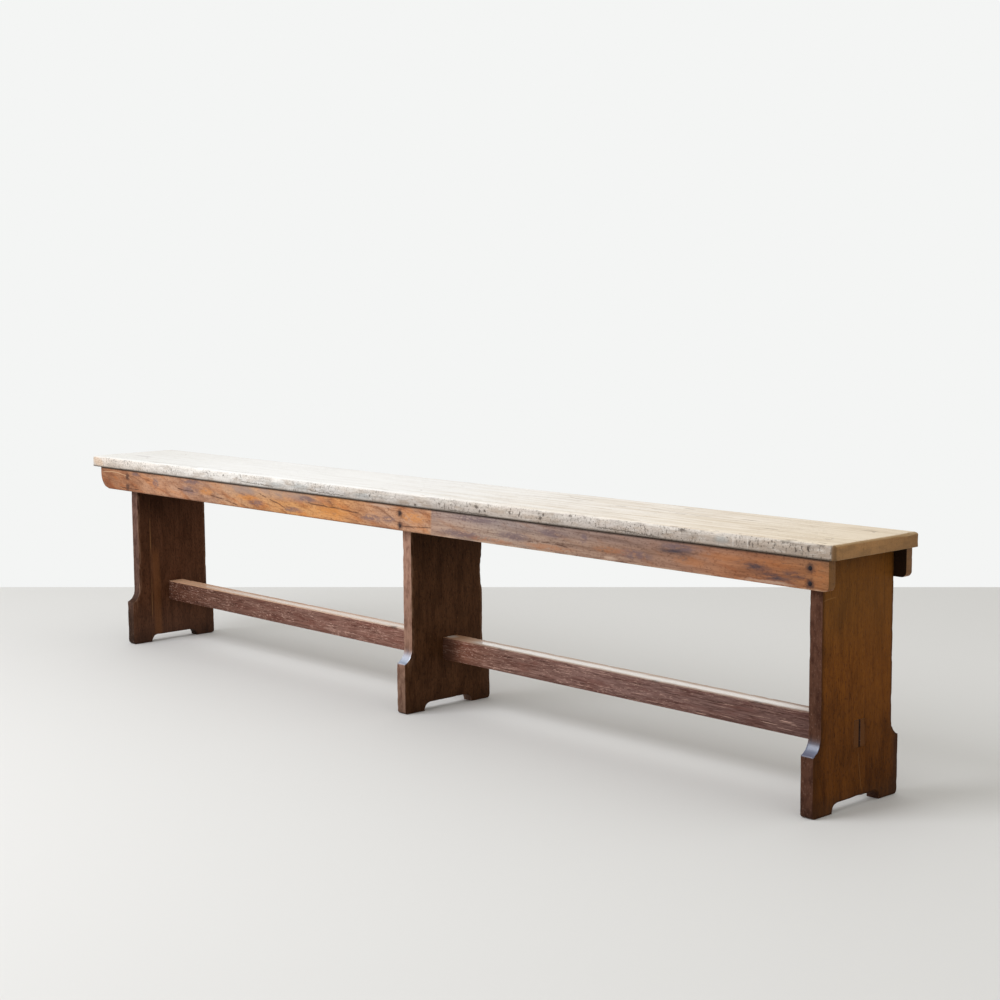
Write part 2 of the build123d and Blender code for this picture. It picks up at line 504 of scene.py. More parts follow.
def make_rail():
    """Stretcher rail with a tenon on each end, sawn for its wedge."""
    low = Vector((leg_places["left_leg"] + leg_thickness / 2, rail_low.y, rail_low.z))
    high = Vector((leg_places["right_leg"] - leg_thickness / 2, rail_high.y, rail_high.z))
    rail = start_board("stretcher_rail", low, high)
    half = tenon_thickness / 2
    slice_at(Y, [rail_y - half, rail_y + half])
    for end, way in ((low.x, -1), (high.x, 1)):
        pick(
            "faces",
            lambda f: abs(f.calc_center_median().x - end) < near
            and abs(f.calc_center_median().y - rail_y) < half / 2,
        )
        shift = {"value": (way * leg_thickness, 0, 0)}
        bpy.ops.mesh.extrude_region_move(TRANSFORM_OT_translate=shift)
    round_edges(
        lambda e: runs_along(e, X) and abs(abs(middle(e).y - rail_y) - rail_thickness / 2) < near,
        rail_ease,
        3,
    )
    slice_at(Z, steps(low.z + rail_margin, high.z - rail_margin, rail_cell_height))
    slice_at(Y, steps(rail_y - half, rail_y + half, rail_cell_width))
    slice_length(low.x, high.x, rail_end_margin, cell_length)
    mark_arrises(rail, low.z)
    close_board()
    for end, way in ((rail_low.x, -1), (rail_high.x, 1)):
        inside = end - way * kerf_depth
        outside = end + way * overrun
        cut_block(
            rail,
            (min(inside, outside), rail_y - kerf_width / 2, low.z - overrun),
            (max(inside, outside), rail_y + kerf_width / 2, high.z + overrun),
        )
    weather(rail, "rail_waves", (250, 40, 40), 0.4)
    weather(rail, "rail_nicks", (25, 8, 8), 0.8, chips=0.35)
    knocks = [(245, 0, 1.6, 1.6, 12), (655, 0, 1.4, 1.4, 14), (890, 0, 1.6, 1.2, 12)]
    knock_front(rail, rail_low, rail_high, knocks)
    return rail


def start_material(name, roughness, shine, more=None):
    """A new material with uniform values on its shader, and its object coordinates."""
    material = bpy.data.materials.new(name)
    material.use_nodes = True
    shader = material.node_tree.nodes["Principled BSDF"]
    values = {"Roughness": roughness, "Specular IOR Level": shine, **(more or {})}
    for socket, value in values.items():
        shader.inputs[socket].default_value = value
    return material, add_node("TexCoord", {}, "Object", material.node_tree)


def cloud(place, size, detail=2, shift=0, output="Fac"):
    """Noise with lumps about as large as the size in mm."""
    scale = [1 / (length * mm) for length in size]
    stretched = add_node("Mapping", {"Vector": place, "Location": (shift,) * 3, "Scale": scale})
    sockets = {"Vector": stretched, "Scale": 1, "Detail": detail, "Roughness": noise_roughness}
    return add_node("TexNoise", sockets, output)


def passing(value, start, full, high=1):
    """Mask that grows smoothly from 0 at the start to its high value at full."""
    sockets = {0: value, 1: start, 2: full, 4: high}
    return add_node("MapRange", sockets, interpolation_type="SMOOTHSTEP")


def patches(place, size, start, full, detail=2, shift=0):
    """Mask of patches about as large as the size in mm, where noise passes from start to full.

    The detail is the number of finer noises on top, and another shift gives other patches.
    """
    return passing(cloud(place, size, detail, shift), start, full)


def wandering(place, size, reach):
    """The place moved by a slow noise, so that lines wander like grain; lumps and reach in mm."""
    noise = cloud(place, size, output="Color")
    reach = [length * mm for length in reach]
    centred = add_node("VectorMath", {0: noise, 1: (0.5, 0.5, 0.5)}, operation="SUBTRACT")
    return add_node("VectorMath", {0: centred, 1: reach, 2: place}, operation="MULTIPLY_ADD")


def slanted(place, angle):
    """The place turned in the front plane, so that what runs along X dips down to the right."""
    return add_node("Mapping", {"Vector": place, "Rotation": (0, math.radians(-angle), 0)})


def growth_rings(place, across, size, wander, start, shift=0):
    """Mask of annual rings cut by the saw: each darkens slowly and ends on a sharp line.

    Across tells how many rings lie in a metre along each axis. The wander is in rings, and its
    lumps have the size in mm.
    """
    count = add_node("VectorMath", {0: place, 1: across}, "Value", operation="DOT_PRODUCT")
    sockets = {0: cloud(place, size, 3, shift), 1: wander, 2: count}
    turns = add_node("Math", sockets, operation="MULTIPLY_ADD")
    return passing(add_node("Math", {0: turns}, operation="FRACT"), start, ring_end_share)


def spot(place, centre, half_size, turn=(0, 0, 0), core=0.4):
    """Mask of one oval spot, full inside its core and gone at its rim; the turn is in degrees."""
    angles = [math.radians(angle) for angle in turn]
    sockets = {"Vector": place, "Location": centre, "Rotation": angles, "Scale": half_size}
    local = add_node("Mapping", sockets, vector_type="TEXTURE")
    reach = add_node("VectorMath", {0: local}, "Value", operation="LENGTH")
    return passing(reach, 1, core)


def front_spots(place, face_y, table, core=0.3):
    """Mask of spots on a front face: X, Z and half sizes in mm, and a turn where there is one."""
    spots = []
    for x, z, half_x, half_z, *turn in table:
        half_size = (half_x * mm, spot_depth, half_z * mm)
        spots.append(spot(place, (x * mm, face_y, z * mm), half_size, (0, sum(turn), 0), core))
    return either(*spots)


def drawn_line(place, along, across, points, half_width):
    """Mask of one thin line: points hold places along one axis and across it.

    The points and the width are in mm, and the line fades out towards its ends.
    """
    starts = [point[0] * mm for point in points]
    heights = [point[1] * mm for point in points]
    low = min(heights)
    rise = max(max(heights) - low, mm)
    run = starts[-1] - starts[0]
    place_along = add_node("SeparateXYZ", {0: place}, along)
    share = add_node("MapRange", {0: place_along, 1: starts[0], 2: starts[-1]})
    route = add_node("FloatCurve", {"Value": share})
    curve = route.node.mapping.curves[0]
    shares = [((s - starts[0]) / run, (h - low) / rise) for s, h in zip(starts, heights)]
    curve.points[0].location = shares[0]
    curve.points[-1].location = shares[-1]
    for step in shares[1:-1]:
        curve.points.new(*step)
    route.node.mapping.update()
    height = add_node("Math", {0: route, 1: rise, 2: low}, operation="MULTIPLY_ADD")
    place_across = place_along.node.outputs[across]
    away = add_node("Math", {0: place_across, 1: height}, operation="SUBTRACT")
    distance = add_node("Math", {0: away}, operation="ABSOLUTE")
    fade = run * line_fade_share
    begin = between(place, along, starts[0], starts[0] + fade)
    end = between(place, along, starts[-1], starts[-1] - fade)
    line = passing(distance, half_width * mm, line_core_share * half_width * mm)
    return product(line, begin, end)


def drawn_lines(place, along, across, routes, half_width):
    """Mask of several thin lines."""
    return either(*[drawn_line(place, along, across, points, half_width) for points in routes])


def between(place, axis, start, full):
    """Mask that grows from 0 at the start to 1 at full, along one axis of a place or a normal."""
    return passing(add_node("SeparateXYZ", {0: place}, axis), start, full)


def within(place, axis, rise, fall):
    """Mask between two places on an axis: each is where it starts to change and where it ends."""
    return product(between(place, axis, *rise), between(place, axis, fall[1], fall[0]))


def normal_at(place):
    """The normal of the surface, from the node that gives the place."""
    return place.node.outputs["Normal"]


def facing(place, axis, start=0.5, full=0.85):
    """Mask of the surface that faces along an axis, either way."""
    size = add_node("VectorMath", {0: normal_at(place)}, operation="ABSOLUTE")
    return between(size, axis, start, full)


def chain(masks, operation):
    """The masks taken together, one after the other."""
    result = masks[0]
    for mask in masks[1:]:
        result = add_node("Math", {0: result, 1: mask}, operation=operation)
    return result


def product(*masks):
    """Where all the masks hold."""
    return chain(masks, "MULTIPLY")


def either(*masks):
    """Where any of the masks holds."""
    return chain(masks, "MAXIMUM")


def inverse(mask):
    return add_node("Math", {0: 1, 1: mask}, operation="SUBTRACT")


def tones_along(place, stops):
    """Colour that changes along X: stops are places in metres with their colours."""
    first = stops[0][0]
    last = stops[-1][0]
    place_x = add_node("SeparateXYZ", {0: place}, X)
    share = add_node("MapRange", {0: place_x, 1: first, 2: last})
    ramp = add_node("ValToRGB", {0: share})
    elements = ramp.node.color_ramp.elements
    elements[0].color = linear(stops[0][1])
    elements[1].color = linear(stops[-1][1])
    for where, colour in stops[1:-1]:
        element = elements.new((where - first) / (last - first))
        element.color = linear(colour)
    return ramp


def lay_coats(colour, coats, blend="MIX"):
    """Lays coats over a colour: each has a mask, its greatest strength and its own colour.

    A coat with several masks lies where all of them hold.
    """
    for mask, strength, tint in coats:
        masks = mask if isinstance(mask, tuple) else (mask,)
        share = product(*masks, strength)
        coat = linear(tint) if isinstance(tint, str) else tint
        layers = {0: share, 6: colour, 7: coat}
        colour = add_node("Mix", layers, 2, data_type="RGBA", blend_type=blend)
    return colour


def stain(colour, coats):
    """Coats that multiply: what lies under them keeps its hue and its figure."""
    return lay_coats(colour, coats, "MULTIPLY")


def drive(material, socket, value, node="Principled BSDF"):
    """Links a value to a socket of the material's shader, or of another node."""
    tree = material.node_tree
    tree.links.new(value, tree.nodes[node].inputs[socket])


def finish_material(material, colour, heights, depth):
    """Links the colour, and the bump of the heights: each a mask and how far it sinks in."""
    drive(material, "Base Color", colour)
    total = 0
    for mask, share in heights:
        total = add_node("Math", {0: mask, 1: -share, 2: total}, operation="MULTIPLY_ADD")
    drive(material, "Normal", add_node("Bump", {"Height": total, "Distance": depth}))
    return material


def wear_at(place):
    """Mask of the worn arrises, from the piece's own attribute."""
    return add_node("Attribute", {}, "Fac", place.id_data, attribute_name="wear")


def pine_top(place, fibres):
    """Top of the seat, bleached by scrubbing, with long fine lines and a few dark checks."""
    bare = tones_along(place, [
        (-1.125, "#E5E1DA"), (-0.6, "#EDEAE5"), (0.1, "#EEEAE4"), (0.6, "#EFE6DA"),
        (1.125, "#E6D5BC"),
    ])
    right_hand = between(place, X, -0.3, 0.9)
    rings = growth_rings(place, (1, 30, 0), (500, 40, 70), 4, 0.5)
    streaks = patches(place, (320, 8, 30), 0.46, 0.7, 4)
    fine = patches(place, (100, 3.2, 10), 0.52, 0.72, 3, shift=7)
    checks = patches(place, (45, 3, 10), 0.68, 0.75, shift=3)
    wander = wandering(place, (40, 20, 20), (0, 5, 0))
    routes = [
        [(250, 15), (342, 34), (430, 41)], [(350, 74), (385, 60), (440, 54)],
        [(600, 44), (680, 30), (760, 22)], [(-900, -96), (-780, -92), (-640, -88)],
        [(-620, -93), (-500, -95), (-430, -90)],
    ]
    drawn = drawn_lines(wander, X, Y, routes, 2.2)
    dashes = [
        (532, 29, 22, 2.5), (606, 40, 16, 2.5), (650, 85, 18, 3), (687, 18, 20, 2.5),
        (834, 35, 26, 3), (930, -30, 22, 2.5), (1065, 64, 24, 3), (1075, -64, 12, 3),
        (1095, -104, 14, 2.5), (1037, -109, 16, 4), (-690, -104, 22, 2.5), (-860, -104, 30, 2.5),
    ]
    marks = [
        spot(wander, (x * mm, y * mm, seat_high.z), (half_x * mm, half_y * mm, 9 * mm))
        for x, y, half_x, half_y in dashes
    ]
    dull = spot(place, (-1.013, -0.037, seat_high.z), (0.05, 0.012, 0.02))
    top = lay_coats(bare, [
        ((streaks, right_hand), 0.6, "#D2BB97"), (streaks, 0.18, "#CFC7BA"),
        ((rings, right_hand), 0.28, "#BC9F78"), (rings, 0.1, "#BFB5A6"),
        ((fine, right_hand), 0.42, "#AE916C"), (fine, 0.15, "#AFA699"),
        ((checks, right_hand), 0.65, "#826B52"), (drawn, 0.5, "#8E7A66"),
        (either(*marks), 0.65, "#7A6654"),
        (dull, 0.3, "#A79E9E"), (fibres, 0.1, "#A8967E"),
    ])
    return top, either(checks, drawn, *marks)


def pine_front(place, fibres):
    """Front edge of the seat, greyer than the top, with the nicks and stains of its long use."""
    # Greyer and darker towards the right end: partly the wood's own tone, partly painted shade for
    # the light falling off along the bench.
    grey = tones_along(place, [
        (-1.125, "#DACABB"), (-0.8, "#E2DAD1"), (-0.4, "#E6E1DA"), (-0.2, "#D1CBC5"),
        (0, "#C8C0B8"), (0.2, "#B7ACA3"), (0.38, "#CBBEB2"), (0.6, "#C4B9B0"), (1.05, "#A99888"),
    ])
    front = seat_low.y
    ragged = wandering(place, (5, 5, 5), (8, 0, 8))
    cloudy = patches(place, (35, 20, 10), 0.42, 0.66, 5)
    brown = patches(place, (50, 20, 12), 0.46, 0.66, 5, shift=4)
    light = patches(place, (20, 20, 4), 0.52, 0.74, 3, shift=3)
    specks = patches(place, (6, 6, 2.8), 0.52, 0.74, 3, shift=6)
    upright = patches(place, (3.6, 20, 9), 0.58, 0.7, shift=1)
    nicked = patches(place, (120, 100, 100), 0.34, 0.52, 1, shift=5)
    pits = patches(place, (5, 6, 4), 0.6, 0.7)
    grimy = between(place, X, -1.8, -0.3)
    # Painted shade: a dark line along the bottom of the seat's front, where the gap over the apron
    # lies in shade.
    gap_shade_line = between(place, Z, 0.4285, 0.4245)
    low_half = between(ragged, Z, 0.44, 0.426)
    upper = product(
        between(ragged, Z, 0.435, 0.447), patches(place, (50, 20, 10), 0.3, 0.6, 3, shift=9)
    )
    nicks = front_spots(ragged, front, [
        (-560, 440, 5, 3), (107, 429, 6, 3), (287, 440, 7, 4, 20), (296, 433, 4, 5),
        (311, 435, 4, 3), (380, 437, 5, 4, 30), (406, 437, 3, 7, 12), (462, 434, 5, 6),
        (470, 441, 6, 4, -30), (540, 445, 6, 3), (808, 445, 12, 4), (1029, 447, 14, 4),
        (1048, 434, 3, 6), (1074, 439, 3, 7, 10), (1100, 447, 8, 3),
    ])
    crack_routes = [
        [(600, 431), (690, 429), (762, 427)], [(200, 428), (260, 427.5), (330, 426.5)],
        [(-500, 432), (-430, 431), (-360, 429)], [(-250, 433), (-180, 430), (-110, 429)],
    ]
    cracks = drawn_lines(ragged, X, Z, crack_routes, 1.4)
    bluish = front_spots(ragged, front, [
        (-362, 433, 34, 9), (-272, 436, 44, 10), (-60, 434, 40, 8), (895, 437, 24, 9),
    ])
    stripes = front_spots(place, front, [(919, 437, 3, 14), (950, 437, 2.5, 14)])
    torn_corner = front_spots(place, front, [(-1102, 437, 32, 12, 12)], core=0.6)
    torn_lines = growth_rings(place, (45, 0, -180), (50, 50, 50), 0.6, 0.5)
    face = lay_coats(grey, [
        ((cloudy, grimy), 0.5, "#8E857C"), ((brown, grimy), 0.5, "#9A836C"),
        (light, 0.5, "#E0D8CE"), (bluish, 0.45, "#8F9696"), (upper, 0.5, "#EDE5DA"),
        (fibres, 0.25, "#84786C"), ((specks, grimy), 0.65, "#6F655B"),
        ((upright, nicked), 0.8, "#4F443A"), ((pits, nicked), 0.7, "#4E443B"),
        (low_half, 0.34, "#7E6F62"), (stripes, 0.4, "#D8CEC4"), (torn_corner, 0.55, "#D6B89C"),
        ((torn_corner, torn_lines), 0.35, "#9E8268"), (cracks, 0.65, "#51463D"),
        (nicks, 0.8, "#463A31"), (gap_shade_line, 0.85, "#33261D"),
    ])
    return face, either(nicks, cracks, product(pits, nicked))


def scrubbed_pine():
    """Softwood plank scrubbed with water for years: bleached, dry and ridged along the grain.

    The scrubbing lifts the hard late-wood lines and whitens the top. The front edge stays greyer
    and dented, and the sawn end shows bare honey-coloured end grain.
    """
    material, place = start_material("scrubbed_pine", 0.75, 0.3)
    fibres = patches(place, (100, 2.4, 2.4), 0.45, 0.75, 3)
    top, top_marks = pine_top(place, fibres)
    face, face_marks = pine_front(place, fibres)
    ring_ends = growth_rings(place, (0, 14, 60), (100, 60, 20), 1.5, 0.4)
    end_pores = patches(place, (10, 3, 2), 0.5, 0.74, 3)
    saw_marks = patches(place, (10, 2.2, 20), 0.52, 0.74, shift=2)
    lower = between(place, Z, 0.44, 0.424)
    worn_upright = between(place, Y, seat_low.y + 12 * mm, seat_low.y)
    end = lay_coats(linear("#A27748"), [
        (patches(place, (50, 40, 12), 0.42, 0.66, 4), 0.6, "#7D5D38"),
        (ring_ends, 0.16, "#80603C"), (end_pores, 0.4, "#765734"), (saw_marks, 0.35, "#6E5030"),
        (lower, 0.35, "#856340"), (worn_upright, 0.55, "#7A5C3A"),
        (between(place, Y, -0.02, 0.08), 0.28, "#6A4A26"),
    ])
    wear = wear_at(place)
    rubbed = product(wear, patches(place, (50, 20, 20), 0.4, 0.6))
    downward = between(normal_at(place), Z, -0.5, -0.8)
    colour = lay_coats(top, [
        (facing(place, Y, 0.4, 1), 1, face),
        (rubbed, 0.25, "#E6DFD4"),
        (facing(place, X, 0.2, 0.7), 1, end),
        ((facing(place, X, 0.2, 0.5), facing(place, Z, 0.2, 0.6)), 0.5, "#C2A47A"),
        ((facing(place, X, 0.15, 0.4), facing(place, Y, 0.2, 0.5)), 0.8, "#6E5132"),
        (downward, 1, "#8A7357"),
    ])
    return finish_material(
        material, colour, [(fibres, 0.3), (top_marks, 0.8), (face_marks, 1.4)], 0.5 * mm
    )


nails_low, nails_high = corners("front_apron_nails")
nail_head = 8 * mm
nail_heights = (nails_low.z + nail_head / 2, nails_high.z - nail_head / 2)


def nail_stains(place, radius):
    """Blue-black blots that iron nails draw in the wood round their heads."""
    ragged = wandering(place, (7, 7, 7), (12, 0, 12))
    stains = [
        spot(ragged, (leg_x, face_y, height), (radius, 30 * mm, radius), core=0.3)
        for leg_x in leg_places.values()
        for face_y in (apron_low.y, -apron_low.y)
        for height in nail_heights
    ]
    return either(*stains)


def apron_marks(place, left):
    """What the years have left on the front apron: thin lines, purple stains and bare spots."""
    front = apron_low.y
    loose = wandering(place, (20, 20, 8), (14, 0, 6))
    torn = patches(place, (14, 20, 4.5), 0.34, 0.52, 4, shift=11)
    wavy = wandering(place, (20, 20, 10), (0, 0, 4))
    dark_routes = [
        [(-1010, 384), (-960, 380), (-900, 381)], [(-762, 410), (-726, 395), (-663, 397)],
        [(-430, 412), (-390, 402), (-339, 390), (-318, 377)],
        [(-268, 412), (-226, 403), (-144, 401), (-55, 395)], [(60, 383), (110, 385), (158, 388)],
        [(-620, 392), (-560, 386), (-500, 377)], [(420, 386), (470, 390), (540, 384)],
    ]
    dark = drawn_lines(wavy, X, Z, dark_routes, 2)
    pale_routes = [[(-1086, 413), (-1000, 414), (-940, 389)]]
    pale = drawn_lines(wavy, X, Z, pale_routes, 1.4)
    purple = front_spots(loose, front, [
        (-841, 402, 17, 16), (-436, 389, 40, 12), (-250, 412, 40, 9), (-33, 391, 46, 11),
        (22, 393, 28, 10), (283, 416, 90, 9), (245, 384, 95, 10), (388, 394, 60, 11),
        (491, 408, 50, 10), (573, 407, 12, 14), (697, 391, 60, 12), (-300, 385, 50, 8),
        (800, 414, 60, 8), (-700, 396, 50, 14), (-690, 416, 60, 7), (-930, 416, 26, 7),
    ])
    orange = front_spots(loose, front, [
        (-628, 398, 40, 12), (-470, 398, 60, 10), (-165, 392, 80, 16), (100, 402, 50, 14),
        (330, 380, 90, 7), (480, 382, 90, 8), (641, 392, 60, 9), (824, 392, 50, 12),
        (900, 407, 80, 9), (1010, 408, 70, 9), (1096, 400, 22, 26),
    ])
    light = front_spots(loose, front, [(638, 378, 20, 5), (0, 419, 60, 4), (995, 377, 70, 4)])
    on_front = between(place, Y, front + 4 * mm, front)
    right = inverse(left)
    masks = [
        product(dark, torn), pale, product(purple, torn), product(orange, torn, left),
        product(orange, torn, right), light,
    ]
    return [product(mask, on_front) for mask in masks]


def stained_apron():
    """Softwood board, stained and varnished, then rubbed thin along its lower edge.

    The stain takes more in the early wood, so the figure shows as wandering darker lines. The
    right-hand part had another coat, greyer and more purple, that ends on a sharp line.
    """
    material, place = start_material("stained_softwood", 0.5, 0.12)
    # The tones along the board are partly the coats' own and partly painted shade: towards the
    # right end they darken for the light falling off along the bench.
    first_coat = tones_along(place, [
        (-1.09, "#9B6B4B"), (-0.98, "#A67554"), (-0.8, "#C09374"), (-0.68, "#B2886D"),
        (-0.6, "#B68F74"), (-0.5, "#C4946B"), (-0.3, "#CA935E"), (-0.15, "#CE9560"),
        (0, "#B98E70"), (0.15, "#C09576"),
    ])
    second_coat = tones_along(place, [
        (0.15, "#B79C8D"), (0.35, "#AB998F"), (0.6, "#A4897A"), (0.8, "#9E7C6A"), (0.9, "#AC7B5D"),
        (1.00, "#A06C4B"), (1.11, "#A57550"),
    ])
    edge_of_coat = wandering(place, (20, 20, 20), (6, 0, 0))
    right = between(edge_of_coat, X, 0.149, 0.158)
    left = inverse(right)
    dipping = slanted(place, 16)
    bands = patches(dipping, (70, 50, 17), 0.38, 0.66, 4)
    glow = patches(dipping, (70, 50, 15), 0.46, 0.68, 4, shift=9)
    late_wood = growth_rings(place, (14, 0, 50), (120, 60, 30), 3.2, 0.62)
    some = patches(place, (100, 100, 30), 0.44, 0.62, shift=2)
    rings = growth_rings(place, (1.5, 0, 75), (350, 60, 50), 1.8, 0.55, shift=4)
    fibres = patches(place, (50, 2.4, 2.4), 0.42, 0.72, 3)
    pores = patches(place, (5.5, 3, 3), 0.5, 0.7, 3, shift=5)
    clouds = patches(place, (100, 50, 12), 0.42, 0.7, 5)
    warm = patches(dipping, (90, 50, 12), 0.48, 0.7, 4, shift=3)
    high = between(place, Z, 0.396, 0.414)
    sooty = wandering(place, (12, 20, 5), (24, 0, 8))
    soot_table = [(965, 399, 52, 9, 4), (1005, 386, 66, 11, 4), (1045, 394, 36, 9, 4), (
        790, 406, 60, 9,
    )]
    soot = front_spots(sooty, apron_low.y, soot_table, core=0)
    soot = product(soot, patches(place, (30, 20, 6), 0.28, 0.58, 5, shift=8))
    worn_through = patches(place, (50, 20, 20), 0.42, 0.58)
    low_edge = between(place, Z, 0.3775, 0.3735)
    # Painted shade: a dark line along the top of the apron, in the gap under the seat's edge.
    seat_gap_shade = between(place, Z, 0.4195, 0.4232)
    band = product(high, left, between(place, X, -0.62, -0.5), between(place, X, -0.13, -0.31))
    dark_lines, pale_lines, purple, orange, copper, light = apron_marks(place, left)
    stained = stain(
        lay_coats(first_coat, [(right, 1, second_coat)]),
        [
            ((bands, left), 0.6, "#B99882"), ((glow, left), 0.5, "#FFD08E"),
            ((late_wood, some, left), 0.5, "#8E6E5C"), ((clouds, right), 0.45, "#AEA2A0"),
            ((warm, right), 0.4, "#EDC49C"), ((rings, right), 0.25, "#A68C80"),
            ((high, right), 0.4, "#C4C4CE"),
            ((inverse(high), right), 1, "#F4ECE2"),
            (fibres, 0.4, "#A48C80"), (pores, 0.45, "#947A6C"),
        ],
    )
    stains = nail_stains(place, 12 * mm)
    end = lay_coats(linear("#74502B"), [(clouds, 0.6, "#553A1F"), (pores, 0.5, "#4A321B")])
    # Painted shade: the faces of the aprons that look to the middle are painted near black, for
    # the deep shade under the seat and behind the legs.
    normal_y = add_node("SeparateXYZ", {0: normal_at(place)}, Y)
    place_y = add_node("SeparateXYZ", {0: place}, Y)
    inner_side_shade = passing(product(normal_y, place_y), -0.02, -0.06)
    colour = lay_coats(stained, [
        ((band, bands), 0.6, "#8E7B74"), (band, 0.3, "#B09C8C"), ((soot, right), 0.95, "#3E363C"),
        (purple, 0.68, "#665458"), (orange, 0.55, "#CB8542"), (copper, 0.45, "#A96A3E"),
        (light, 0.45, "#C9AD98"), (dark_lines, 0.75, "#4A2C1E"), (pale_lines, 0.55, "#D9B28C"),
        ((low_edge, worn_through, right), 0.6, "#C3A48B"), ((low_edge, left), 0.45, "#5E3F2C"),
        (stains, 0.75, "#3A2826"), (seat_gap_shade, 0.88, "#1D120B"),
        (facing(place, X, 0.6, 0.9), 0.9, end),
        (inner_side_shade, 1, "#24160D"),
    ])
    return finish_material(
        material, colour, [(fibres, 0.3), (pores, 0.4), (dark_lines, 0.6)], 0.4 * mm
    )


def leg_marks(place, at_right, at_left):
    """Marks on single legs: a crack, a scratch and a joint line, and a light streak."""
    loose = wandering(place, (20, 20, 50), (0, 3, 0))
    crack = drawn_line(loose, Z, Y, [(22, 16), (45, 11), (69, 7), (94, 6)], 1.2)
    scratch = drawn_line(place, Y, Z, [(-97, 352), (-80, 356), (-60, 357)], 1.4)
    joint = drawn_line(loose, Z, Y, [(296, 72), (345, 70), (424, 70)], 1.8)
    streak = drawn_line(loose, Z, Y, [(-30, -46), (100, -47), (240, -50)], 15)
    ray = drawn_line(place, Z, Y, [(-20, -64), (160, -62), (360, -63)], 2.4)
    light = either(crack, scratch)
    rights = [product(mask, at_right) for mask in (light, joint)]
    return rights + [product(mask, at_left) for mask in (streak, ray)]


